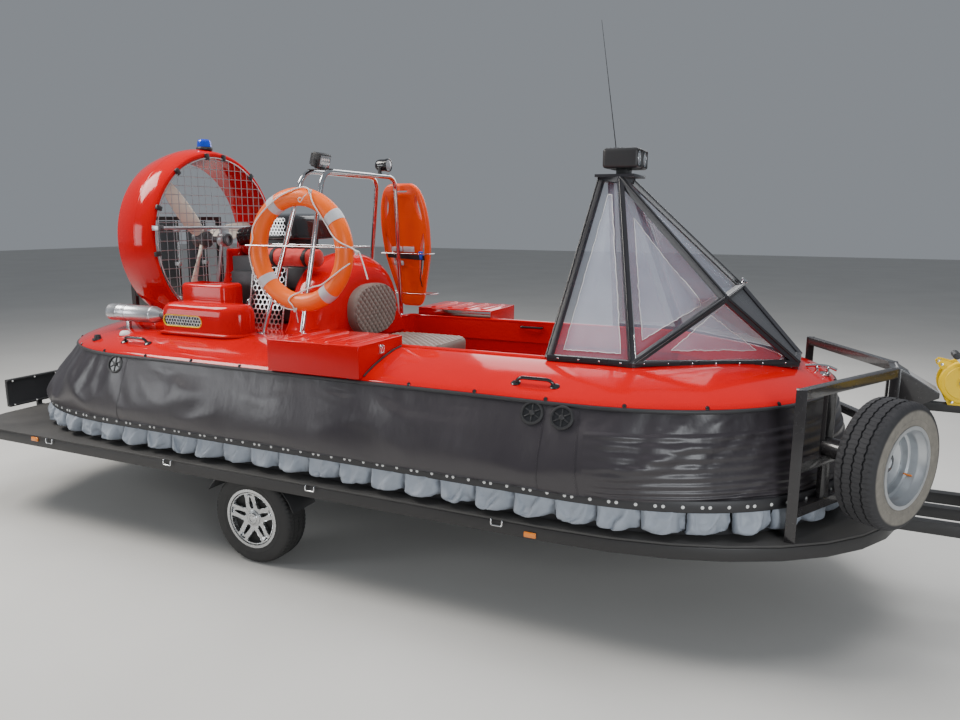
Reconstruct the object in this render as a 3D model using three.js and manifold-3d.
// Light rescue hovercraft on its single-axle bed trailer.
// Millimetres, +X towards the bow, +Y to port, +Z up, ground at Z = 0.
// All stations along X are measured from the trailer's axle, then the whole is centred in X.
import * as THREE from 'three';
import { mergeVertices } from 'three/addons/utils/BufferGeometryUtils.js';
import Module from 'manifold-3d';

const wasm = await Module();
wasm.setup();

// Driving dimensions
const GAP = 0.3;

const tyre = { radius: 295, width: 186, rimRadius: 178, centreY: 983 };
const bed = {
  bottom: 567, top: 645, floor: 12, halfWidth: 1200, rear: -2560, rearCorner: 320,
  sideFront: 1960, bowReach: 1640, bowPower: 2.15,
};
const beam = { rows: [-253, 0, 253], size: 60, top: 630, slotX: 3350, bendX: 3980, endX: 4420, endY: 55 };
const coupling = { top: 566.7, headX: 4250, tipX: 4480, ballX: 4826 };
const guard = { postX: 3071, postY: 867, top: 1380, apexX: 3500, apexY: 105, bar: 48 };
const spare = { x: 3526, y: -856, z: 1066, turn: -31.75 };
const jockey = { x: 4330, y: -165, wheelRadius: 110, sleeveBottom: 470, sleeveTop: 640, trail: 45 };
const winch = {
  x: 3815, z: 1320, drumRadius: 112, armBottom: 1153, armTop: 1198, postX: 4035,
  crank: { x: 3870, z: 1350, boss: -100, y: -112, reach: -120, rise: 130 },
};
const lampBoard = {
  x: -2680, bottom: 655, top: 872, halfWidth: 780, thickness: 24, rim: 14, lampY: 640, bracketY: 520,
};

const deckPlan = {
  bowX: 2000, bowReach: 1220, sternX: -950, sternReach: 1120, bowHalf: 1110, sternHalf: 1090, power: 2.15,
};
const stripPlan = {
  bowX: 2000, bowReach: 1320, sternX: -1000, sternReach: 1450, bowHalf: 1168, sternHalf: 1120, power: 2.3,
};
const deckEdge = 1238;
const deckTop = 1386;
const skirtStrip = 800;
const skirtHem = 652;
const fingerPitch = 213.4;
const hullInset = 108;

const cockpit = { aft: 180, halfWidth: 655, floor: 900, bowX: 2250, bowEndX: 2930, bowEndHalf: 110 };
const duct = { x: -1140, aft: -1490, z: 1968, mouthRadius: 612, outerRadius: 672, throatRadius: 575 };
const carrierX = duct.x + 56;
const propeller = { x: -1300, tipRadius: 550, hubRadius: 62, blades: 3, turn: -70 };
const rudder = { x: -1560, chord: 205, bottom: 1432, top: 2105, spacing: 290, thickness: 16, frameHalf: 450 };
const arch = {
  tube: 16, cornerRadius: 100, halfWidth: 444, top: 2431,
  frontX: 169, rearX: 14, frontFoot: { x: 95, y: 640 }, rearFoot: { x: -215, y: 640 },
};
const ring = { x: 180, y: -716, z: 1940, radius: 322, tube: 55 };

// Windscreen corners on the starboard side, mirrored to port
const screen = {
  rear: [1800, -712, 1400], middle: [2250, -702, 1400], foot: [3020, -145, 1374],
  knuckle: [2655, -404, 1730], topRear: [1890, -105, 2370], topFront: [2010, -140, 2362],
};

const paint = (color, roughness, metalness = 0) =>
  new THREE.MeshStandardMaterial({ color, roughness, metalness });
const red = 0xc8140f;
const black = 0x17171a;
const steel = 0xa7abb0;
const tan = 0x8a776b;

const vehicle = new THREE.Group();

// Solids and helpers
const solidOf = (geometry) => {
  const bare = geometry.clone();
  bare.deleteAttribute('normal');
  bare.deleteAttribute('uv');
  const welded = mergeVertices(bare, 1e-3);
  const index = welded.index ? welded.index.array : welded.attributes.position.array.map((value, i) => i);
  return new wasm.Manifold(new wasm.Mesh({
    numProp: 3,
    vertProperties: new Float32Array(welded.attributes.position.array),
    triVerts: new Uint32Array(index),
  }));
};

const geometryOf = (manifold) => {
  const mesh = manifold.getMesh();
  const geometry = new THREE.BufferGeometry();
  geometry.setAttribute('position', new THREE.BufferAttribute(new Float32Array(mesh.vertProperties), 3));
  geometry.setIndex(new THREE.BufferAttribute(new Uint32Array(mesh.triVerts), 1));
  geometry.computeVertexNormals();
  return geometry;
};

const largest = (solid) => solid.decompose()
  .reduce((best, part) => (part.volume() > best.volume() ? part : best));

const join = (...parts) => parts.map((part) => (part.isBufferGeometry ? solidOf(part) : part))
  .reduce((sum, part) => sum.add(part));

const add = (name, shape, material) => {
  const geometry = shape.isBufferGeometry ? shape : geometryOf(shape);
  const mesh = new THREE.Mesh(geometry, material);
  mesh.name = name;
  vehicle.add(mesh);
  return mesh;
};

const box = (x0, x1, y0, y1, z0, z1) => new THREE.BoxGeometry(x1 - x0, y1 - y0, z1 - z0)
  .translate((x0 + x1) / 2, (y0 + y1) / 2, (z0 + z1) / 2);

const between = (geometry, from, to) => {
  const start = new THREE.Vector3(...from);
  const end = new THREE.Vector3(...to);
  const direction = end.clone().sub(start);
  const ownAxis = new THREE.Vector3(0, 1, 0);
  const turn = new THREE.Quaternion().setFromUnitVectors(ownAxis, direction.clone().normalize());
  return geometry.applyQuaternion(turn).translate(...start.add(end).multiplyScalar(0.5).toArray());
};

const lengthOf = (from, to) => new THREE.Vector3(...to).distanceTo(new THREE.Vector3(...from));

const rod = (from, to, radius, sides = 12, endRadius = radius) =>
  between(new THREE.CylinderGeometry(endRadius, radius, lengthOf(from, to), sides), from, to);

// A flat-sided bar whose width lies level and whose depth follows the slope
const bar = (from, to, width, depth, overrun = 0) => {
  const start = new THREE.Vector3(...from);
  const end = new THREE.Vector3(...to);
  const along = end.clone().sub(start).normalize();
  const level = new THREE.Vector3().crossVectors(new THREE.Vector3(0, 0, 1), along);
  const across = level.lengthSq() < 1e-6 ? new THREE.Vector3(0, 1, 0) : level.normalize();
  const up = new THREE.Vector3().crossVectors(along, across);
  const geometry = new THREE.BoxGeometry(start.distanceTo(end) + 2 * overrun, width, depth);
  return geometry.applyMatrix4(new THREE.Matrix4().makeBasis(along, across, up)
    .setPosition(start.add(end).multiplyScalar(0.5)));
};

// A round tube along straight runs with rounded corners
const bentTube = (points, cornerRadius, tubeRadius, cornerSteps = 4, sides = 10) => {
  const corners = points.map((point) => new THREE.Vector3(...point));
  const path = new THREE.CurvePath();
  let from = corners[0];
  corners.slice(1, -1).forEach((corner, i) => {
    const before = corner.clone().add(corners[i].clone().sub(corner).setLength(cornerRadius));
    const after = corner.clone().add(corners[i + 2].clone().sub(corner).setLength(cornerRadius));
    path.add(new THREE.LineCurve3(from, before));
    path.add(new THREE.QuadraticBezierCurve3(before, corner, after));
    from = after;
  });
  path.add(new THREE.LineCurve3(from, corners.at(-1)));
  const stops = [];
  path.curves.forEach((curve) => {
    const steps = curve.isLineCurve3 ? 1 : cornerSteps;
    for (let i = 0; i < steps; i += 1) stops.push(curve.getPoint(i / steps));
  });
  stops.push(corners.at(-1));
  return sweep(stops, tubeRadius, sides);
};

// Closed shell from rows of points; the last row may meet the first
const shell = (rows, closed = false) => {
  const count = rows[0].length;
  const positions = rows.flat().flatMap((point) => point.toArray());
  const index = [];
  const bands = closed ? rows.length : rows.length - 1;
  for (let r = 0; r < bands; r += 1) {
    const next = (r + 1) % rows.length;
    for (let i = 0; i < count; i += 1) {
      const j = (i + 1) % count;
      index.push(r * count + i, r * count + j, next * count + j);
      index.push(r * count + i, next * count + j, next * count + i);
    }
  }
  if (!closed) {
    [0, rows.length - 1].forEach((row) => {
      const middle = positions.length / 3;
      const centre = rows[row].reduce((sum, point) => sum.add(point), new THREE.Vector3()).divideScalar(count);
      positions.push(...centre.toArray());
      for (let i = 0; i < count; i += 1) {
        const j = (i + 1) % count;
        if (row === 0) index.push(middle, row * count + j, row * count + i);
        else index.push(middle, row * count + i, row * count + j);
      }
    });
  }
  const geometry = new THREE.BufferGeometry();
  geometry.setAttribute('position', new THREE.Float32BufferAttribute(positions, 3));
  geometry.setIndex(volumeOf(positions, index) < 0 ? index.reverse() : index);
  geometry.computeVertexNormals();
  return geometry;
};

const volumeOf = (positions, index) => {
  const corner = (i) => new THREE.Vector3(...positions.slice(3 * i, 3 * i + 3));
  let volume = 0;
  for (let i = 0; i < index.length; i += 3) {
    volume += corner(index[i]).dot(corner(index[i + 1]).cross(corner(index[i + 2]))) / 6;
  }
  return volume;
};

// Round section carried along stops without twist
const sweep = (stops, radius, sides) => {
  let across = null;
  const rows = stops.map((stop, i) => {
    const before = stops[Math.max(i - 1, 0)];
    const after = stops[Math.min(i + 1, stops.length - 1)];
    const along = after.clone().sub(before).normalize();
    if (!across) across = new THREE.Vector3(0.31, 0.52, 0.79).cross(along).normalize();
    across = across.sub(along.clone().multiplyScalar(across.dot(along))).normalize();
    const up = new THREE.Vector3().crossVectors(along, across);
    return Array.from({ length: sides }, (unused, k) => {
      const angle = (2 * Math.PI * k) / sides;
      return stop.clone()
        .addScaledVector(across, radius * Math.cos(angle))
        .addScaledVector(up, radius * Math.sin(angle));
    });
  });
  return shell(rows);
};

// Plan outlines, counter-clockwise from the bow tip
const planSteps = { bow: 9, side: 2, stern: 8 };

const planOutline = (plan, inset = 0) => {
  const quarter = [];
  const turn = (angle, reach, half) => [
    (reach - inset) * Math.cos(angle) ** (2 / plan.power),
    (half - inset) * Math.sin(angle) ** (2 / plan.power),
  ];
  for (let i = 0; i < planSteps.bow; i += 1) {
    const [x, y] = turn((i / planSteps.bow) * (Math.PI / 2), plan.bowReach, plan.bowHalf);
    quarter.push([plan.bowX + x, y]);
  }
  for (let i = 0; i < planSteps.side; i += 1) {
    const t = i / planSteps.side;
    quarter.push([
      THREE.MathUtils.lerp(plan.bowX, plan.sternX, t),
      THREE.MathUtils.lerp(plan.bowHalf, plan.sternHalf, t) - inset,
    ]);
  }
  for (let i = planSteps.stern; i >= 0; i -= 1) {
    const angle = (i / planSteps.stern) * (Math.PI / 2);
    const [x, y] = turn(Math.max(angle, 0), plan.sternReach, plan.sternHalf);
    quarter.push([plan.sternX - x, i === 0 ? 0 : y]);
  }
  const mirrored = quarter.slice(1, -1).reverse().map(([x, y]) => [x, -y]);
  return [...quarter, ...mirrored].map(([x, y]) => new THREE.Vector2(x, y));
};

const level = (outline, z) => outline.map((point) => new THREE.Vector3(point.x, point.y, z));

const prism = (outline, z0, z1) => {
  const shape = new THREE.Shape(outline);
  return new THREE.ExtrudeGeometry(shape, { depth: z1 - z0, bevelEnabled: false }).translate(0, 0, z0);
};

// Superellipse ring for domed pieces
const oval = (cx, cy, z, halfX, halfY, power, count = 28) => Array.from({ length: count }, (unused, i) => {
  const angle = (2 * Math.PI * i) / count;
  const c = Math.cos(angle);
  const s = Math.sin(angle);
  return new THREE.Vector3(
    cx + halfX * Math.sign(c) * Math.abs(c) ** (2 / power),
    cy + halfY * Math.sign(s) * Math.abs(s) ** (2 / power),
    z,
  );
});

const mirrorY = (point) => [point[0], -point[1], point[2]];

// A solid of revolution about the X axis or the Y axis through a centre
const turned = (profile, axis, centre, segments) => {
  const area = profile.reduce((sum, [radius, along], i) => {
    const [nextRadius, nextAlong] = profile[(i + 1) % profile.length];
    return sum + radius * nextAlong - nextRadius * along;
  }, 0);
  const points = profile.map(([radius, along]) => new THREE.Vector2(radius, along));
  const lathe = new THREE.LatheGeometry(area < 0 ? points.reverse() : points, segments);
  if (axis === 'x') lathe.rotateZ(-Math.PI / 2);
  return lathe.translate(...centre);
};

// Trailer bed: a perimeter frame with cross members, and a flat floor on it
const bedOutline = (inset = 0) => {
  const half = [];
  const steps = 9;
  for (let i = 0; i <= steps; i += 1) {
    const angle = (i / steps) * (Math.PI / 2);
    half.push([
      bed.sideFront + (bed.bowReach - inset) * Math.cos(angle) ** (2 / bed.bowPower),
      i === 0 ? 0 : (bed.halfWidth - inset) * Math.sin(angle) ** (2 / bed.bowPower),
    ]);
  }
  for (let i = 0; i <= 4; i += 1) {
    const angle = Math.PI / 2 + (i / 4) * (Math.PI / 2);
    half.push([
      bed.rear + inset + bed.rearCorner + bed.rearCorner * Math.cos(angle),
      bed.halfWidth - inset - bed.rearCorner + bed.rearCorner * Math.sin(angle),
    ]);
  }
  const port = half.slice(1).reverse().map(([x, y]) => [x, -y]);
  return [...half, ...port].map(([x, y]) => new THREE.Vector2(x, y));
};

// Cross members between the bays, and the open columns between the rails on the starboard side
const bayEdges = [-2440, -1660, -880, -380, 380, 1130, 1880];
const crossHalf = 30;
const columns = [
  { inner: 60, outer: 700, cornerSet: 0 },
  { inner: 760, outer: 1140, cornerSet: 80 },
];
const bowBay = { aft: 1940, front: 2690, inner: 60, outer: 780 };

const bedFrame = () => {
  const below = bed.bottom - 10;
  const holes = [];
  const opening = (x0, x1, inner, outer) => {
    holes.push(box(x0, x1, inner, outer, below, bed.top));
    holes.push(box(x0, x1, -outer, -inner, below, bed.top));
  };
  bayEdges.slice(0, -1).forEach((x, i) => {
    columns.forEach(({ inner, outer, cornerSet }) => {
      // The rearmost bays stop short of the rounded corners
      const set = i === 0 ? cornerSet : 0;
      opening(x + crossHalf, bayEdges[i + 1] - crossHalf, inner, outer - set);
    });
  });
  opening(bowBay.aft, bowBay.front, bowBay.inner, bowBay.outer);
  beam.rows.forEach((y) => {
    const half = beam.size / 2 + GAP;
    holes.push(box(beam.slotX - GAP, beam.slotX + 350, y - half, y + half, below, bed.top));
  });
  return solidOf(prism(bedOutline(), bed.bottom, bed.top - bed.floor - GAP)).subtract(join(...holes));
};

add('bed_frame', bedFrame(), paint(black, 0.55, 0.3));
add('bed_floor', prism(bedOutline(4), bed.top - bed.floor, bed.top), paint(0x26262a, 0.75));

// Drawbar: three beams let into the bow end of the bed frame, cranked in and down to the coupling,
// and stiffened by rails under the bed
const rail = { aft: 1400, depth: 80, cross: [1400, 2000, 3290] };
const drawbarHead = { halfWidth: 85, depth: 86 };
const drawbar = () => {
  const half = beam.size / 2;
  const z = beam.top - half;
  const parts = [];
  beam.rows.forEach((y) => {
    parts.push(bar([beam.slotX, y, z], [beam.bendX, y, z], beam.size, beam.size));
    const gathered = [beam.endX, Math.sign(y) * beam.endY, coupling.top - half - 8];
    parts.push(bar([beam.bendX, y, z], gathered, beam.size, beam.size, 14));
    const railBottom = coupling.top - rail.depth;
    parts.push(box(beam.slotX, beam.slotX + 50, y - half, y + half, railBottom, z));
    parts.push(box(rail.aft, beam.slotX + 50, y - half, y + half, railBottom, coupling.top));
  });
  rail.cross.forEach((x) => {
    parts.push(box(x, x + beam.size, beam.rows[0], beam.rows[2], coupling.top - rail.depth, coupling.top));
  });
  const { halfWidth, depth } = drawbarHead;
  parts.push(box(coupling.headX, coupling.tipX, -halfWidth, halfWidth, coupling.top - depth, coupling.top));
  return join(...parts);
};
const drawbarSolid = drawbar();
add('drawbar', drawbarSolid, paint(black, 0.5, 0.3));

const couplingHead = () => {
  const { top, tipX, ballX } = coupling;
  const z = top + 46;
  const housing = box(tipX - 220, tipX - 10, -55, 55, top + GAP, z + 34);
  const shaft = rod([tipX - 15, 0, z], [ballX - 126, 0, z], 27, 14);
  const bellows = rod([tipX - 10, 0, z], [tipX + 110, 0, z], 42, 14);
  const cup = rod([ballX - 136, 0, z], [ballX + 4, 0, z], 40, 14);
  const nose = new THREE.CylinderGeometry(44, 44, 74, 18).rotateX(Math.PI / 2).translate(ballX, 0, z - 8);
  const handle = bar([ballX - 126, 0, z + 38], [ballX + 4, 0, z + 86], 30, 18, 10);
  const lever = bar([tipX - 150, 62, z], [tipX - 300, 62, z + 260], 16, 26);
  const pivot = box(tipX - 180, tipX - 130, 50, 72, z - 24, z + 24);
  const socket = new THREE.CylinderGeometry(26, 26, 60, 18).rotateX(Math.PI / 2).translate(ballX, 0, z - 40);
  const clearOfBeams = drawbarSolid.translate([0, 0, GAP]);
  return join(housing, shaft, bellows, cup, nose, handle, lever, pivot)
    .subtract(solidOf(socket)).subtract(clearOfBeams);
};
add('coupling_head', couplingHead(), paint(0x3a3b3e, 0.5, 0.6));

// Axle with trailing arms and stub shafts
const axleBeam = { x0: 150, x1: 220, halfWidth: 860, bottom: 395, top: 465, armY: 850, stubRadius: 26 };
const axle = () => {
  const { x0, x1, halfWidth, bottom, top, armY, stubRadius } = axleBeam;
  const parts = [box(x0, x1, -halfWidth, halfWidth, bottom, top)];
  [-1, 1].forEach((side) => {
    const hanger = side * (armY - 10);
    parts.push(box(x0 - 30, x1 + 30, hanger - 30, hanger + 30, top - 5, bed.bottom - GAP));
    parts.push(bar([190, side * armY, bottom + 25], [0, side * armY, tyre.radius], 40, 60, 20));
    parts.push(rod([0, side * (armY - 15), tyre.radius], [0, side * (armY + 95), tyre.radius], stubRadius, 12));
  });
  return join(...parts);
};
add('axle', axle(), paint(0x8f9396, 0.45, 0.8));

// Tyres and rims about a wheel's own axis, its outer face towards -Y
const wheelFacets = 24;
const wheelPart = (profile) => turned([...profile, profile[0]], 'y', [0, 0, 0], wheelFacets);

// From the bead to the tread: radius, and how far in from the tyre's side
const tyreRows = [
  { radius: tyre.rimRadius + GAP, inward: 28 },
  { radius: tyre.rimRadius + 32, inward: 4 },
  { radius: tyre.radius - 42, inward: 0 },
  { radius: tyre.radius - 12, inward: 12 },
  { radius: tyre.radius, inward: 34 },
];
const tyreGeometry = () => {
  const half = tyre.width / 2;
  const outerSide = tyreRows.map(({ radius, inward }) => [radius, inward - half]);
  const innerSide = tyreRows.toReversed().map(({ radius, inward }) => [radius, half - inward]);
  return wheelPart([...outerSide, ...innerSide]);
};

// Flange and tyre seat of a rim, and the well inside it
const barrel = { edge: tyre.width / 2 - 2, lip: 12, lipWidth: 8, seat: 18, wall: 8, well: 16, wellIn: 24 };
const rimBarrel = () => {
  const { edge, lip, lipWidth, seat, wall, well, wellIn } = barrel;
  const radius = tyre.rimRadius;
  return wheelPart([
    [radius + lip, -edge], [radius + lip, lipWidth - edge], [radius, seat - edge],
    [radius, edge - seat], [radius + lip, edge - lipWidth], [radius + lip, edge],
    [radius - wall, edge], [radius - well, edge - wellIn],
    [radius - well, wellIn - edge], [radius - wall, -edge],
  ]);
};

// Alloy road rim: pairs of spokes that close up towards a plate at the rim, one pair near the top
const alloy = {
  faceIn: 12, hub: 46, drum: 88, pairs: 5, first: 94.5, root: 46, rootSpread: 33, tipSpread: 8,
  plate: 158, plateSpread: 12, depth: 24, width: 20,
};
const roadRimSolid = () => {
  const face = alloy.faceIn - tyre.width / 2;
  const hub = rod([0, face - 4, 0], [0, 25, 0], alloy.hub, 12);
  const drum = rod([0, -30, 0], [0, 60, 0], alloy.drum, 16);
  const y = face + 2 + alloy.depth / 2;
  const spotOn = (radius, degrees) => {
    const angle = THREE.MathUtils.degToRad(degrees);
    return [radius * Math.cos(angle), y, radius * Math.sin(angle)];
  };
  const spokes = [];
  for (let i = 0; i < alloy.pairs; i += 1) {
    const middle = alloy.first + (360 / alloy.pairs) * i;
    [-1, 1].forEach((side) => {
      const root = spotOn(alloy.root, middle + side * alloy.rootSpread);
      const tip = spotOn(tyre.rimRadius - 14, middle + side * alloy.tipSpread);
      spokes.push(bar(root, tip, alloy.depth, alloy.width, 6));
    });
    const [low, high] = [-1, 1].map((side) => spotOn(alloy.plate, middle + side * alloy.plateSpread));
    spokes.push(bar(low, high, alloy.depth - 2, alloy.width));
  }
  return join(rimBarrel(), hub, drum, ...spokes);
};

// Pressed steel disc of the spare: radius, and where its front and back stand along the axis
const discRows = [
  { radius: 32, front: 12, back: 22 },
  { radius: 60, front: 22, back: 32 },
  { radius: 110, front: -4, back: 6 },
  { radius: tyre.rimRadius - 10, front: 20, back: 28 },
];
const steelRimSolid = () => join(rimBarrel(), wheelPart([
  ...discRows.map(({ radius, front }) => [radius, front]),
  ...discRows.toReversed().map(({ radius, back }) => [radius, back]),
]));

const boreForStub = rod([0, -32, 0], [0, 90, 0], axleBeam.stubRadius + 0.5, 12);
const wheelRim = roadRimSolid().subtract(solidOf(boreForStub));
[['right', -1], ['left', 1]].forEach(([side, sign]) => {
  const place = (mesh) => {
    mesh.position.set(0, sign * tyre.centreY, tyre.radius);
    if (sign > 0) mesh.rotation.z = Math.PI;
  };
  place(add(`tyre_${side}`, tyreGeometry(), paint(0x1b1b1c, 0.9)));
  place(add(`rim_${side}`, wheelRim, paint(0xc9ccd0, 0.3, 0.9)));
});

// Mudguards over the wheels, hung from the bed frame and flattened under it
const guardPlate = { inner: 318, outer: 322, stretch: 1.12, from: 18, to: 152, flat: 335, halfWidth: 108 };
const mudguard = (sign) => {
  const steps = 10;
  const { inner, outer, stretch, from, to, flat, halfWidth } = guardPlate;
  const arc = (radius, top) => Array.from({ length: steps + 1 }, (unused, i) => {
    const angle = THREE.MathUtils.degToRad(from + ((to - from) * i) / steps);
    return new THREE.Vector2(radius * stretch * Math.cos(angle), Math.min(radius * Math.sin(angle), top));
  });
  const thickness = outer - inner;
  const outline = [...arc(outer, flat), ...arc(inner, flat - thickness).reverse()];
  return new THREE.ExtrudeGeometry(new THREE.Shape(outline), { depth: 2 * halfWidth, bevelEnabled: false })
    .rotateX(Math.PI / 2).translate(0, sign * tyre.centreY + halfWidth, tyre.radius);
};
add('mudguard_right', mudguard(-1), paint(black, 0.7));
add('mudguard_left', mudguard(1), paint(black, 0.7));

// Jockey wheel beside the drawbar
const jockeyStand = () => {
  const height = jockey.sleeveTop - jockey.sleeveBottom;
  const sleeve = turned([[25, 0], [30, 0], [30, height], [25, height], [25, 0]], 'y', [0, 0, 0], 16)
    .rotateX(Math.PI / 2).translate(jockey.x, jockey.y, jockey.sleeveBottom);
  const clamp = box(jockey.x - 32, jockey.x + 32, jockey.y + 27, -90, coupling.top - 74, coupling.top - 6);
  return join(sleeve, clamp).subtract(drawbarSolid.translate([0, -GAP, 0]));
};
add('jockey_sleeve', jockeyStand(), paint(steel, 0.4, 0.8));

const jockeyTube = () => {
  const tube = rod([jockey.x, jockey.y, 252], [jockey.x, jockey.y, 655], 24, 16);
  const cap = rod([jockey.x, jockey.y, 654], [jockey.x, jockey.y, 672], 33, 16);
  const crank = bar([jockey.x, jockey.y, 668], [jockey.x - 90, jockey.y, 690], 14, 14, 8);
  const knob = rod([jockey.x - 90, jockey.y, 690], [jockey.x - 90, jockey.y, 760], 13, 10);
  return join(tube, cap, crank, knob);
};
add('jockey_tube', jockeyTube(), paint(steel, 0.4, 0.8));

const jockeyFork = () => {
  const crown = box(jockey.x - jockey.trail - 20, jockey.x + 28, jockey.y - 37, jockey.y + 37, 236, 251);
  const cheeks = [-1, 1].map((side) => box(
    jockey.x - jockey.trail - 20, jockey.x - jockey.trail + 20,
    jockey.y + side * 34 - 3, jockey.y + side * 34 + 3, jockey.wheelRadius - 20, 250,
  ));
  const pin = rod([jockey.x - jockey.trail, jockey.y - 36, jockey.wheelRadius],
    [jockey.x - jockey.trail, jockey.y + 36, jockey.wheelRadius], 7, 12);
  return join(crown, ...cheeks, pin);
};
add('jockey_fork', jockeyFork(), paint(steel, 0.4, 0.8));

// Radius and half width, from the pin hole out to the rubber tread
const jockeyRows = [
  { radius: 9, half: 27 },
  { radius: 40, half: 27 },
  { radius: 84, half: 24 },
  { radius: jockey.wheelRadius - 8, half: 27 },
  { radius: jockey.wheelRadius, half: 18 },
];
const jockeyWheel = wheelPart([
  ...jockeyRows.map(({ radius, half }) => [radius, -half]),
  ...jockeyRows.toReversed().map(({ radius, half }) => [radius, half]),
]).translate(jockey.x - jockey.trail, jockey.y, jockey.wheelRadius);
add('jockey_wheel', jockeyWheel, paint(0x2a2a2c, 0.85));

// Guard frame round the bow, with the bow stop at its apex
const guardFoot = bed.top + GAP;
const bowGuard = () => {
  const half = guard.bar / 2;
  const parts = [];
  const railHeights = [guard.top - half, 1010, 790];
  [-1, 1].forEach((side) => {
    const outer = [guard.postX, side * guard.postY];
    const inner = [guard.apexX, side * guard.apexY];
    [outer, inner].forEach(([x, y]) => {
      parts.push(box(x - half, x + half, y - half, y + half, guardFoot, guard.top));
    });
    railHeights.forEach((z) => parts.push(bar([...outer, z], [...inner, z], guard.bar - 2, guard.bar - 2)));
  });
  railHeights.forEach((z) => {
    const { apexX, apexY } = guard;
    parts.push(box(apexX - half, apexX + half, -apexY, apexY, z - half + 1, z + half - 1));
  });
  return join(...parts);
};
// Side of the wedge that closes the guard: out from the apex bar, and up
const stopRows = [
  { out: 0, z: 1160 }, { out: 30, z: 1150 }, { out: 190, z: 1232 }, { out: 190, z: 1258 }, { out: 0, z: 1376 },
];
const stopWidth = 150;
const bowStop = () => {
  const foot = guard.apexX + guard.bar / 2 - 1;
  const side = new THREE.Shape(stopRows.map(({ out, z }) => new THREE.Vector2(foot + out, z)));
  return new THREE.ExtrudeGeometry(side, { depth: stopWidth, bevelEnabled: false })
    .rotateX(Math.PI / 2).translate(0, stopWidth / 2, 0);
};
// Stands off the starboard wing, whose bars pass this far behind the spare's face, and holds its hub
const spareCarrier = () => {
  const middle = tyre.width / 2;
  const wing = 391;
  const parts = [
    rod([0, middle + 32 + GAP, 0], [0, wing, 0], 50, 14),
    rod([0, middle - 2, 0], [0, middle + 40, 0], 20, 10),
    rod([0, middle - 4, 0], [0, middle + 12 - GAP, 0], 45, 14),
    box(-35, 35, wing - 12, wing + 12, 770 - spare.z, guard.top - 10 - spare.z),
  ];
  return join(...parts).rotate([0, 0, 90 + spare.turn]).translate([spare.x, spare.y, spare.z]);
};
add('bow_guard', join(bowGuard(), bowStop(), spareCarrier()), paint(black, 0.5, 0.3));

// Winch post and hand winch ahead of the bow
const winchPost = () => {
  const { postX, armBottom, armTop } = winch;
  const post = bar([postX, 0, beam.top + 11], [postX - 90, 0, armTop - 18], beam.size, beam.size);
  const foot = box(postX - 60, postX + 60, -90, 90, beam.top + GAP, beam.top + 12);
  const arm = box(3600, postX - 60, -23, 23, armBottom, armTop);
  const clearOfStop = solidOf(bowStop()).translate([0, 0, -GAP]);
  return join(post, foot, arm).subtract(drawbarSolid.translate([0, 0, GAP])).subtract(clearOfStop);
};
const winchHousing = () => {
  const { x, z, drumRadius, armTop, crank } = winch;
  const body = rod([x, -62, z], [x, 62, z], drumRadius, 20);
  const base = box(x - 45, x + 60, -28, 28, armTop + GAP, z - 60);
  const boss = rod([crank.x, crank.boss, crank.z], [crank.x, -40, crank.z], 22, 14);
  return join(body, base, boss);
};
add('winch_post', winchPost(), paint(black, 0.5, 0.3));
add('winch_housing', winchHousing(), paint(0xf0c40f, 0.45));
const crankArm = () => {
  const { x, z, y, boss, reach, rise } = winch.crank;
  const end = { x: x + reach, z: z + rise };
  const arm = bar([x, y, z], [end.x, y, end.z], 9, 26, 12);
  const hub = rod([x, boss - GAP, z], [x, y - 12, z], 16, 12);
  const knob = rod([end.x, y + 2, end.z], [end.x, y - 100, end.z], 15, 12);
  return join(arm, hub, knob);
};
add('winch_crank', crankArm(), paint(steel, 0.35, 0.8));

// Spare wheel carried on the starboard wing of the guard
const spareFrame = new THREE.Group();
spareFrame.position.set(spare.x, spare.y, spare.z);
spareFrame.rotation.z = THREE.MathUtils.degToRad(90 + spare.turn);
vehicle.add(spareFrame);
const inSpare = (name, shape, material) => {
  const mesh = add(name, shape, material);
  mesh.position.set(0, tyre.width / 2, 0);
  spareFrame.add(mesh);
};
inSpare('spare_tyre', tyreGeometry(), paint(0x202021, 0.9));
inSpare('spare_rim', steelRimSolid(), paint(0xb9bdc1, 0.35, 0.85));

// Lamp board standing behind the bed on two brackets
const lampBoardSolid = () => {
  const { x, bottom, top, halfWidth, thickness, rim, lampY, bracketY } = lampBoard;
  const panel = box(x, x + thickness, -halfWidth, halfWidth, bottom, top);
  const rims = [bottom, top - rim].map((z) => box(x, x + thickness + rim, -halfWidth, halfWidth, z, z + rim));
  const lamps = [-lampY, lampY].map((y) => box(x - 48, x + 2, y - 110, y + 110, bottom + 50, top - 50));
  const brackets = [-bracketY, bracketY].flatMap((y) => [
    box(x, bed.rear - GAP, y - 20, y + 20, 590, 630),
    box(x, x + thickness, y - 20, y + 20, 590, bottom + 20),
  ]);
  return join(panel, ...rims, ...lamps, ...brackets);
};
add('lamp_board', lampBoardSolid(), paint(black, 0.6));

const cockpitOutline = (grow = 0) => [
  [cockpit.aft - grow, -cockpit.halfWidth - grow], [cockpit.bowX, -cockpit.halfWidth - grow],
  [cockpit.bowEndX + grow, -cockpit.bowEndHalf - grow], [cockpit.bowEndX + grow, cockpit.bowEndHalf + grow],
  [cockpit.bowX, cockpit.halfWidth + grow], [cockpit.aft - grow, cockpit.halfWidth + grow],
].map(([x, y]) => new THREE.Vector2(x, y));

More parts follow.
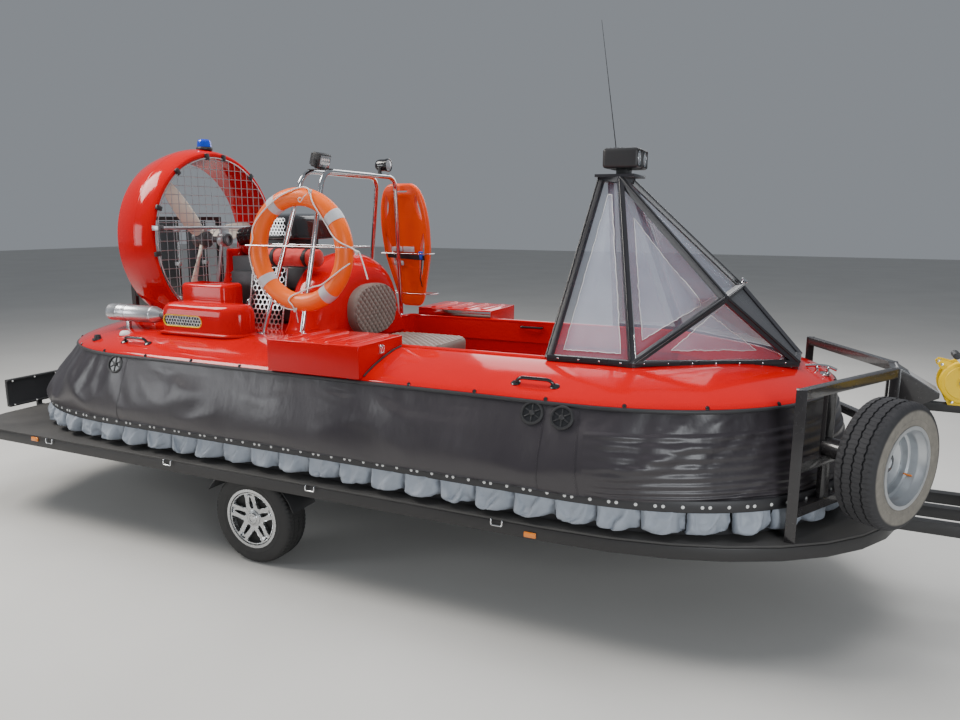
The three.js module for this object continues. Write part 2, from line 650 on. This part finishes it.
// Inflated bag round the hull
const bagRows = [
  // down: share of the way from deck edge to strip, out: bulge, z
  { down: 0.00, out: 4, z: deckEdge - 2 },
  { down: 0.08, out: 30, z: 1212 },
  { down: 0.25, out: 66, z: 1140 },
  { down: 0.50, out: 84, z: 1030 },
  { down: 0.75, out: 72, z: 930 },
  { down: 0.92, out: 38, z: 860 },
  { down: 1.00, out: 6, z: 828 },
  { down: 1.00, out: 0, z: skirtStrip },
];
const deckLine = planOutline(deckPlan);
const stripLine = planOutline(stripPlan);
const bagInner = planOutline(deckPlan, hullInset - 4);
const outward = deckLine.map((point, i) => {
  const before = deckLine.at(i - 1);
  const after = deckLine[(i + 1) % deckLine.length];
  return new THREE.Vector2(after.y - before.y, before.x - after.x).normalize();
});
const bowEase = (x) => 1 - THREE.MathUtils.smoothstep(x, 2350, 3000);
const skirtBag = () => {
  const rows = bagRows.map(({ down, out, z }) => deckLine.map((point, i) => {
    const at = point.clone().lerp(stripLine[i], down).addScaledVector(outward[i], out * bowEase(point.x));
    return new THREE.Vector3(at.x, at.y, z);
  }));
  rows.push(level(bagInner, skirtStrip), level(bagInner, deckEdge - 2));
  return shell(rows, true);
};
add('skirt_bag', skirtBag(), paint(0x2b2b30, 0.55));

// Grey fingers below the bag, slack on the bed
const evenly = (outline, count) => {
  const closed = [...outline, outline[0]];
  const lengths = [0];
  closed.slice(1).forEach((point, i) => lengths.push(lengths[i] + point.distanceTo(closed[i])));
  const total = lengths.at(-1);
  let segment = 0;
  return Array.from({ length: count }, (unused, k) => {
    const at = (total * k) / count;
    while (lengths[segment + 1] < at) segment += 1;
    const share = (at - lengths[segment]) / (lengths[segment + 1] - lengths[segment]);
    return closed[segment].clone().lerp(closed[segment + 1], share);
  });
};
const outlineLength = stripLine.reduce((sum, point, i) => sum + point.distanceTo(stripLine.at(i - 1)), 0);
const fingerCount = Math.round(outlineLength / fingerPitch);
const fingerSteps = 4;
const skirtFingers = () => {
  const line = evenly(stripLine, fingerCount * fingerSteps);
  const normals = line.map((point, i) => {
    const before = line.at(i - 1);
    const after = line[(i + 1) % line.length];
    return new THREE.Vector2(after.y - before.y, before.x - after.x).normalize();
  });
  // inset: behind the strip line, bulge: how far a finger's middle stands out
  const section = [
    { inset: 14, bulge: 8, z: skirtStrip - GAP },
    { inset: 10, bulge: 48, z: 735 },
    { inset: 40, bulge: 60, z: skirtHem },
    { inset: 120, bulge: 0, z: skirtHem },
    { inset: 112, bulge: 0, z: skirtStrip - GAP },
  ];
  const rows = section.map(({ inset, bulge, z }) => line.map((point, i) => {
    const share = Math.sin((Math.PI * (i % fingerSteps)) / fingerSteps);
    const out = bulge * share * (0.3 + 0.7 * bowEase(point.x)) - inset;
    const at = point.clone().addScaledVector(normals[i], out);
    return new THREE.Vector3(at.x, at.y, z);
  }));
  return shell(rows, true);
};
add('skirt_fingers', skirtFingers(), paint(0xb4b5b8, 0.8));

// Deck moulding, open over the cockpit: an upright edge, a round shoulder and a gentle rise
const deckRows = [
  { z: deckEdge, inset: 0 }, { z: 1264, inset: 0 }, { z: 1284, inset: 18 }, { z: 1322, inset: 120 },
  { z: 1376, inset: 330 }, { z: deckTop, inset: 385 },
];
const deckSolid = (() => {
  const rows = deckRows.map(({ z, inset }) => level(planOutline(deckPlan, inset), z));
  const opening = prism(cockpitOutline(), deckEdge - 20, deckTop + 20);
  return solidOf(shell(rows)).subtract(solidOf(opening));
})();
add('deck', deckSolid, paint(red, 0.18));
const deckCut = deckSolid.translate([0, 0, GAP]);
const onDeck = (...parts) => join(...parts).subtract(deckCut);

// Step boxes each side of the seat, flush with the deck edge, with four ribs on the tread
const stepBox = { aft: 236, front: 858, outer: 1132, foot: 1270, top: 1452, firstRib: 330, ribPitch: 140 };
[['starboard', -1], ['port', 1]].forEach(([side, sign]) => {
  const inner = cockpit.halfWidth + 5;
  const [low, high] = [sign * inner, sign * stepBox.outer].sort((a, b) => a - b);
  const body = box(stepBox.aft, stepBox.front, low, high, stepBox.foot, stepBox.top);
  const ribs = [0, 1, 2, 3].map((i) => {
    const x = stepBox.firstRib + i * stepBox.ribPitch;
    return box(x, x + 40, low + 40, high - 40, stepBox.top - 2, stepBox.top + 8);
  });
  add(`step_box_${side}`, onDeck(body, ...ribs), paint(red, 0.2));
});

// Seat: base, cushion, backrest pad and the rounded fairing behind
const seat = { aft: 298, front: 870, half: 262, cushionBottom: 1222, cushionTop: 1322 };
const cushionRows = [
  { z: seat.cushionBottom, inset: 12 }, { z: seat.cushionBottom + 12, inset: 0 },
  { z: seat.cushionTop - 18, inset: 0 }, { z: seat.cushionTop, inset: 30 },
];
const cushion = () => shell(cushionRows.map(({ z, inset }) => {
  const middle = (seat.aft + seat.front) / 2;
  return oval(middle, 0, z, seat.front - middle - inset, seat.half - inset, 7, 20);
}));
add('seat_cushion', cushion(), paint(tan, 0.7));

const fairingRows = [
  // z, centre x, half length, half width
  { z: 1320, x: 20, length: 222, width: 560 },
  { z: 1500, x: 20, length: 220, width: 530 },
  { z: 1650, x: 18, length: 212, width: 470 },
  { z: 1770, x: 15, length: 190, width: 370 },
  { z: 1850, x: 12, length: 145, width: 240 },
  { z: 1892, x: 8, length: 75, width: 110 },
];
const pad = { x0: 190, x1: 275, halfWidth: 275, halfHeight: 178, z: 1508 };
const padSolid = (grow) => shell([pad.x0 - grow, pad.x1 - 22, pad.x1 + grow].map((x, i) => {
  const inset = i === 2 ? 24 : 0;
  return oval(0, 0, 0, pad.halfHeight - inset + grow, pad.halfWidth - inset + grow, 2.4, 20)
    .map((point) => new THREE.Vector3(x, point.y, pad.z - point.x));
}));
const fairing = () => {
  const dome = shell(fairingRows.map(({ z, x, length, width }) => oval(x, 0, z, length, width, 2.7, 24)));
  const front = box(210, 400, -700, 700, 1200, 2000);
  return onDeck(dome).subtract(solidOf(front)).subtract(solidOf(padSolid(GAP)));
};
add('seat_fairing', fairing(), paint(red, 0.15));
add('backrest_pad', padSolid(0), paint(tan, 0.7));

// Steering console and handlebar, low in the cockpit
const steer = { x: 1290, top: 1110, half: 300, bend: 130, swept: 70 };
const consoleSolid = () => shell([
  { z: cockpit.floor - 10, x: 1380, length: 190, width: 170 },
  { z: 1040, x: 1370, length: 140, width: 130 },
  { z: steer.top, x: 1320, length: 90, width: 90 },
].map(({ z, x, length, width }) => oval(x, 0, z, length, width, 3, 16)));

// Hull under the deck, its cockpit well open at the top, with the seat base and console moulded in
const hullRows = [
  { z: 660, inset: 330 }, { z: 700, inset: 190 }, { z: 780, inset: hullInset },
  { z: deckEdge - GAP, inset: hullInset },
];
const hull = () => {
  const rows = hullRows.map(({ z, inset }) => level(planOutline(deckPlan, inset), z));
  const skids = [-560, 0, 560].map((y) => box(-1500, 2350, y - 35, y + 35, bed.top + GAP, 700));
  const well = prism(cockpitOutline(6), cockpit.floor, deckEdge + 20);
  const baseHalf = seat.half - 8;
  const seatBase = box(
    cockpit.aft - 20, seat.front - 20, -baseHalf, baseHalf, cockpit.floor - 10, seat.cushionBottom - GAP,
  );
  return join(shell(rows), ...skids).subtract(solidOf(well))
    .add(solidOf(seatBase)).add(solidOf(consoleSolid()));
};
add('hull', hull(), paint(0xa01210, 0.4));

const handlebar = () => {
  const { x, top, half, bend, swept } = steer;
  const stem = rod([x, 0, top + GAP], [x, 0, top + 62], 24, 12);
  const bars = [
    [x - swept, -half, top + 58], [x, -bend, top + 54], [x, bend, top + 54], [x - swept, half, top + 58],
  ];
  return join(stem, bentTube(bars, 60, 15, 2, 8));
};
add('handlebar', handlebar(), paint(black, 0.6));

// Engine bay between the fairing and the duct
const engine = { aft: -800, front: -465, half: 235, foot: 1330, top: 1860 };
add('engine_block', onDeck(
  box(engine.aft, engine.front, -engine.half, engine.half, engine.foot, engine.top),
), paint(0x4b4d50, 0.5, 0.6));

// Glossy hood with rounded edges, the neck under it, and the round duct that leads to it
const hood = { x: -380, halfLength: 180, halfWidth: 300 };
const hoodRows = [
  { z: 1985, inset: 8 }, { z: 2000, inset: 0 }, { z: 2100, inset: 3 }, { z: 2145, inset: 22 },
  { z: 2165, inset: 72 },
];
add('engine_hood', join(
  shell(hoodRows.map(({ z, inset }) => (
    oval(hood.x, 0, z, hood.halfLength - inset, hood.halfWidth - inset, 4.5, 24)
  ))),
  box(-600, -330, -180, 180, engine.top + GAP, 2000),
  rod([-900, 0, 1985], [-540, 0, 2045], 72, 16),
), paint(black, 0.3));

const mesh = { x: -345, y: 470, lean: 95, foot: 1340, top: 1810, width: 290, thickness: 8 };
[['starboard', -1], ['port', 1]].forEach(([side, sign]) => {
  const { x, y, lean, foot, top, width, thickness } = mesh;
  const screenPlate = bar([x, sign * y, foot], [x, sign * (y - lean), top], width, thickness);
  add(`engine_screen_${side}`, onDeck(screenPlate), paint(0xc6c9cc, 0.35, 0.7));
});

// Red pylon that carries the shaft ahead of the duct
const pylon = () => shell([
  { z: 1330, x: -960, length: 120, width: 330 },
  { z: 1500, x: -960, length: 110, width: 230 },
  { z: 1700, x: -955, length: 90, width: 110 },
  { z: 1905, x: -950, length: 80, width: 90 },
].map(({ z, x, length, width }) => oval(x, 0, z, length, width, 2.4, 16)));
add('engine_pylon', onDeck(pylon()), paint(0xb01310, 0.25));

// Intake pods with a taller scoop on their inner side, and the silencer behind the starboard one
const pod = { aft: -915, front: -255, y: 700, half: 120, nose: 200, corner: 35 };
const podRows = [
  { z: 1340, inset: 0 }, { z: 1530, inset: 0 }, { z: 1558, inset: 12 }, { z: 1572, inset: 34 },
];
// Square at the rear with small corners, and a round nose
const podOutline = (inset) => {
  const half = pod.half - inset;
  const rear = pod.aft + inset;
  const side = [];
  for (let i = 0; i <= 6; i += 1) {
    const angle = (i / 6) * (Math.PI / 2);
    const x = pod.front - pod.nose + (pod.nose - inset) * Math.cos(angle) ** 0.8;
    side.push([x, half * Math.sin(angle) ** 0.8]);
  }
  side.push([rear + pod.corner, half], [rear + 10, half - 10], [rear, half - pod.corner]);
  const mirrored = side.slice(1).reverse().map(([x, y]) => [x, -y]);
  return [...side, ...mirrored];
};
const scoop = { aft: -950, front: -560, inner: 400, outer: 600, foot: 1340, top: 1690 };
[['starboard', -1], ['port', 1]].forEach(([side, sign]) => {
  const rows = podRows.map(({ z, inset }) => (
    podOutline(inset).map(([x, y]) => new THREE.Vector3(x, sign * pod.y + y, z))
  ));
  const [low, high] = [sign * scoop.inner, sign * scoop.outer].sort((a, b) => a - b);
  const scoopBox = box(scoop.aft, scoop.front, low, high, scoop.foot, scoop.top);
  add(`intake_box_${side}`, onDeck(shell(rows), scoopBox), paint(red, 0.2));
});
const silencer = () => {
  const y = -745;
  const can = rod([-1470, y, 1472], [-985, y, 1480], 58, 20);
  const neck = rod([-990, y, 1480], [-925, y, 1480], 26, 14);
  const leg = box(-1320, -1290, y - 12, y + 12, 1300, 1440);
  return onDeck(can, neck, leg);
};
add('exhaust_silencer', silencer(), paint(0xc0c3c6, 0.2, 0.9));

// Duct ring, cut off where it meets the deck
const ductRing = () => {
  const { mouthRadius, outerRadius, throatRadius } = duct;
  const length = duct.x - duct.aft;
  const profile = [
    [mouthRadius, 0], [mouthRadius + 28, 6], [outerRadius - 16, -30], [outerRadius, -100],
    [outerRadius - 14, -210], [outerRadius - 46, -length],
    [throatRadius + 10, -length], [throatRadius, -180], [throatRadius + 12, -60], [mouthRadius, 0],
  ];
  return turned(profile, 'x', [duct.x, 0, duct.z], 36);
};
const ductSolid = onDeck(ductRing());
add('duct', ductSolid, paint(red, 0.12));

// Wire guard over the mouth of the duct, with its struts
const ductGuard = () => {
  const x = duct.x + 14;
  const radius = duct.mouthRadius - 6;
  const hoop = turned([[radius - 5, -5], [radius + 5, -5], [radius + 5, 5], [radius - 5, 5], [radius - 5, -5]],
    'x', [x, 0, duct.z], 32);
  const wires = [];
  const pitch = 196;
  for (let i = -2; i <= 2; i += 1) {
    const offset = i * pitch;
    const reach = Math.sqrt(radius ** 2 - offset ** 2);
    wires.push(box(x - 2, x + 2, offset - 2, offset + 2, duct.z - reach, duct.z + reach));
    wires.push(box(x - 2, x + 2, -reach, reach, duct.z + offset - 2, duct.z + offset + 2));
  }
  const trim = box(x - 50, x + 50, -700, 700, 1200, 1500);
  const shaftHole = rod([x - 30, 0, duct.z], [x + 30, 0, duct.z], 78, 14);
  return join(hoop, ...wires).subtract(solidOf(trim)).subtract(solidOf(shaftHole));
};
add('duct_guard', ductGuard(), paint(0xd0d3d6, 0.3, 0.9));

// Bearing carrier ahead of the propeller: a level tube across the mouth, and two legs down
const shaftMount = () => {
  const x = carrierX;
  const reach = duct.mouthRadius + 18;
  const tubeZ = duct.z + 92;
  const tube = rod([x, -reach, tubeZ], [x, reach, tubeZ], 13, 10);
  const feet = [2 - reach, reach - 2]
    .map((y) => box(duct.x + 8, x + 10, y - 14, y + 14, tubeZ - 16, tubeZ + 16));
  const legs = [-1, 1].map((side) => rod([x, side * 20, duct.z + 40], [x, side * 150, deckTop - 30], 12, 10));
  const boss = rod([x - 26, 0, duct.z], [x + 30, 0, duct.z], 58, 18);
  const plate = box(x - 12, x + 12, -40, 40, duct.z, tubeZ);
  return join(tube, ...feet, ...legs, boss, plate).subtract(ductSolid.translate([GAP, 0, 0])).subtract(deckCut);
};
add('shaft_mount', shaftMount(), paint(steel, 0.4, 0.8));

// Propeller with three blades turning about X
const propellerSolid = () => {
  const { x, hubRadius } = propeller;
  const hub = rod([x - 60, 0, duct.z], [x + 60, 0, duct.z], hubRadius, 14);
  const spinner = rod([x - 105, 0, duct.z], [x - 58, 0, duct.z], 22, 14, hubRadius);
  const shaft = rod([x + 50, 0, duct.z], [carrierX - 28, 0, duct.z], 24, 14);
  const blades = [];
  for (let i = 0; i < propeller.blades; i += 1) {
    // radius, chord, pitch in degrees, thickness
    const stations = [
      { radius: 40, chord: 70, pitch: 50, thickness: 34 },
      { radius: 150, chord: 118, pitch: 40, thickness: 22 },
      { radius: 330, chord: 122, pitch: 26, thickness: 14 },
      { radius: 500, chord: 92, pitch: 18, thickness: 9 },
      { radius: propeller.tipRadius, chord: 50, pitch: 16, thickness: 6 },
    ];
    const rows = stations.map(({ radius, chord, pitch, thickness }) => {
      const angle = THREE.MathUtils.degToRad(pitch);
      return oval(0, 0, 0, chord / 2, thickness / 2, 2, 8).map((point) => new THREE.Vector3(
        point.x * Math.sin(angle) - point.y * Math.cos(angle),
        point.x * Math.cos(angle) + point.y * Math.sin(angle),
        radius,
      ));
    });
    blades.push(shell(rows)
      .rotateX(-THREE.MathUtils.degToRad(propeller.turn - 90 + (360 / propeller.blades) * i))
      .translate(x, 0, duct.z));
  }
  return join(hub, spinner, shaft, ...blades);
};
add('propeller', propellerSolid(), paint(0xe9e6dc, 0.35));

// Rudders behind the duct on a frame
const rudderFrame = () => {
  const { x, frameHalf, bottom, top } = rudder;
  const sill = box(x - 20, x + 20, -frameHalf, frameHalf, 1340, bottom - 6);
  const head = box(x - 20, x + 20, -frameHalf, frameHalf, top + 6, top + 34);
  const stayZ = duct.z - Math.sqrt((duct.throatRadius + 25) ** 2 - frameHalf ** 2);
  const sides = [-1, 1].flatMap((side) => {
    const y = side * frameHalf;
    return [
      box(x - 20, x + 20, y - 15, y + 15, 1340, top + 34),
      box(x, duct.aft + 6, y - 12, y + 12, stayZ - 14, stayZ + 14),
    ];
  });
  return onDeck(sill, head, ...sides).subtract(ductSolid.translate([-GAP, 0, 0]));
};
add('rudder_frame', rudderFrame(), paint(black, 0.5, 0.3));
[['starboard', -1], ['centre', 0], ['port', 1]].forEach(([side, place]) => {
  const y = place * rudder.spacing;
  const half = rudder.thickness / 2;
  const outline = [[14, 0], [6, half], [-rudder.chord * 0.3, half], [-rudder.chord, 2], [-rudder.chord, -2],
    [-rudder.chord * 0.3, -half], [6, -half]].map(([dx, dy]) => new THREE.Vector2(rudder.x + dx, y + dy));
  add(`rudder_${side}`, prism(outline, rudder.bottom, rudder.top), paint(black, 0.45));
});

// Stainless hoops over the engine bay, and what hangs on them
const archFoot = 1340;
const archHoop = (x, foot) => onDeck(bentTube([
  [foot.x, -foot.y, archFoot], [x, -arch.halfWidth, arch.top],
  [x, arch.halfWidth, arch.top], [foot.x, foot.y, archFoot],
], arch.cornerRadius, arch.tube, 2, 8));
const fairingCut = fairing();
// Slots bent from thin rod that hold the ring and the board against the hoops
const slots = [
  { side: -1, z: 1965, from: -206, to: 566, outer: 785 },
  { side: 1, z: 1870, from: -36, to: 388, outer: 662 },
  { side: 1, z: 1560, from: -36, to: 388, outer: 718 },
];
const archSolid = () => {
  const legY = (z) => THREE.MathUtils.mapLinear(z, arch.top, archFoot, arch.halfWidth, arch.frontFoot.y);
  const rods = slots.flatMap(({ side, z, from, to, outer }) => {
    const corners = [[from, legY(z)], [to, legY(z)], [to, outer], [from, outer]];
    return corners.map(([x, y], i) => {
      const [nextX, nextY] = corners[(i + 1) % 4];
      return bar([x, side * y, z], [nextX, side * nextY, z], 7, 7, 3.5);
    });
  });
  const lamps = [
    box(20, 160, -430, -300, arch.top + arch.tube - 6, arch.top + arch.tube + 92),
    rod([60, 372, 2515], [165, 372, 2515], 48, 18),
    box(10, 180, 320, 340, arch.top + 4, arch.top + 24),
    box(90, 120, 322, 372, arch.top + 6, arch.top + 60),
  ];
  const hoops = [archHoop(arch.frontX, arch.frontFoot), archHoop(arch.rearX, arch.rearFoot)];
  return join(...hoops, ...rods, ...lamps).subtract(fairingCut);
};
add('equipment_arch', archSolid(), paint(0xc8cbcf, 0.15, 0.95));

const lifeRing = new THREE.TorusGeometry(ring.radius, ring.tube, 8, 28)
  .rotateX(Math.PI / 2).translate(ring.x, ring.y, ring.z);
add('life_ring', lifeRing, paint(0xf0541a, 0.45));

const boardRows = [
  { z: 1456, half: 68 }, { z: 1480, half: 88 }, { z: 1640, half: 137 }, { z: 1860, half: 196 },
  { z: 2110, half: 200 }, { z: 2250, half: 186 }, { z: 2350, half: 148 }, { z: 2400, half: 92 },
];
const board = { x: 175, y: 664, foot: 1440, thickness: 55 };
const legLean = Math.atan2(arch.frontFoot.y - arch.halfWidth, arch.top - archFoot);
const rescueBoard = () => {
  const outline = [
    ...boardRows.map(({ z, half }) => new THREE.Vector2(half, z)),
    ...boardRows.toReversed().map(({ z, half }) => new THREE.Vector2(-half, z)),
  ];
  return prism(outline, 0, board.thickness).rotateX(Math.PI / 2)
    .translate(0, board.thickness, -board.foot).rotateX(legLean).translate(board.x, board.y, board.foot);
};
add('rescue_board', rescueBoard(), paint(0xf0481a, 0.45));

const roll = { aft: -360, front: 90, y: -395, z: 1874, radius: 60 };
const rollSolid = rod([roll.aft, roll.y, roll.z], [roll.front, roll.y, roll.z], roll.radius, 18);
add('rolled_bag', rollSolid, paint(0xc51d1d, 0.8));

const beacon = { x: -1230, base: duct.z + duct.outerRadius - 12, rim: 28, height: 86, radius: 60 };
add('beacon', join(
  rod([beacon.x, 0, beacon.base], [beacon.x, 0, beacon.base + beacon.rim], beacon.radius, 20),
  rod([beacon.x, 0, beacon.base + beacon.rim - 2], [beacon.x, 0, beacon.base + beacon.height], 54, 20, 46),
).subtract(ductSolid.translate([0, 0, GAP])), paint(0x1f49c8, 0.2));

// Windscreen: flat bars with an opaque lower front panel, and clear glazing behind them
const screenBar = 34;
const glazingSet = 10;
const corner = (name, side = -1) => (side < 0 ? screen[name] : mirrorY(screen[name]));
const sheet = (corners, thickness, inside) => {
  const [a, b, c] = corners;
  const normal = b.clone().sub(a).cross(c.clone().sub(a)).normalize();
  const towards = new THREE.Vector3(2200, 0, 1600).sub(a);
  if (normal.dot(towards) < 0) normal.negate();
  const shifted = (depth) => corners.map((point) => point.clone().addScaledVector(normal, depth));
  return [shifted(inside), shifted(inside + thickness)];
};
const windscreen = (side = screenBar) => {
  const edges = [['rear', 'middle'], ['middle', 'foot'], ['rear', 'topRear'], ['middle', 'topFront'],
    ['topFront', 'knuckle'], ['knuckle', 'foot'], ['middle', 'knuckle'], ['topRear', 'topFront']];
  const parts = [];
  [-1, 1].forEach((hand) => edges.forEach(([a, b]) => {
    parts.push(bar(corner(a, hand), corner(b, hand), side, side, 6));
  }));
  ['topRear', 'topFront', 'knuckle', 'foot'].forEach((name) => {
    parts.push(bar(corner(name), corner(name, 1), side, side));
  });
  const lower = [corner('knuckle'), corner('foot'), corner('foot', 1), corner('knuckle', 1)]
    .map((point) => new THREE.Vector3(...point));
  parts.push(shell(sheet(lower, 4, -2)));
  parts.push(box(1860, 2090, -150, 150, 2376, 2392));
  return onDeck(...parts);
};
const windscreenSolid = windscreen();
add('windscreen_frame', windscreenSolid, paint(black, 0.5));

// Two lamps with rounded cases on one bracket, and a whip aerial that leans aft
const lamp = { x: 2002, y: 73, halfLength: 107, halfWidth: 65 };
const lampRows = [
  { z: 2424, inset: 10 }, { z: 2434, inset: 0 }, { z: 2530, inset: 0 }, { z: 2540, inset: 10 },
];
const lampCases = [-lamp.y, lamp.y].map((y) => shell(lampRows.map(({ z, inset }) => (
  oval(lamp.x, y, z, lamp.halfLength - inset, lamp.halfWidth - inset, 6, 16)
))));
add('spotlights', join(
  ...lampCases,
  box(1960, 2030, -60, 60, 2392 + GAP, 2440),
  rod([1965, 0, 2400], [1830, 0, 3270], 6, 8, 2),
), paint(0x101012, 0.4));

const screenCut = windscreen(screenBar + 2 * GAP);
const clear = () => new THREE.MeshStandardMaterial({
  color: 0xdfe6e8, roughness: 0.1, transparent: true, opacity: 0.3,
});
const glazing = (...groups) => join(...groups.map((names) => {
  const corners = names.map(([name, side]) => new THREE.Vector3(...corner(name, side)));
  return shell(sheet(corners, 4, glazingSet + screenBar / 2));
}));
[['starboard', -1], ['port', 1]].forEach(([label, side]) => {
  const aft = ['rear', 'middle', 'topFront', 'topRear'].map((name) => [name, side]);
  const fore = ['middle', 'foot', 'knuckle', 'topFront'].map((name) => [name, side]);
  add(`glazing_${label}`, largest(glazing(aft, fore).subtract(deckCut).subtract(screenCut)), clear());
});
const frontPane = (() => {
  const names = [['topFront', -1], ['knuckle', -1], ['knuckle', 1], ['topFront', 1]];
  const corners = names.map(([name, side]) => new THREE.Vector3(...corner(name, side)));
  corners.forEach((point) => point.setY(point.y - Math.sign(point.y) * 48));
  return join(shell(sheet(corners, 4, glazingSet + screenBar / 2))).subtract(screenCut);
})();
add('glazing_front', frontPane, clear());

// The whole stands centred over the origin
const centre = new THREE.Box3().setFromObject(vehicle).getCenter(new THREE.Vector3());
vehicle.position.x = -Math.round(centre.x);

export default vehicle;
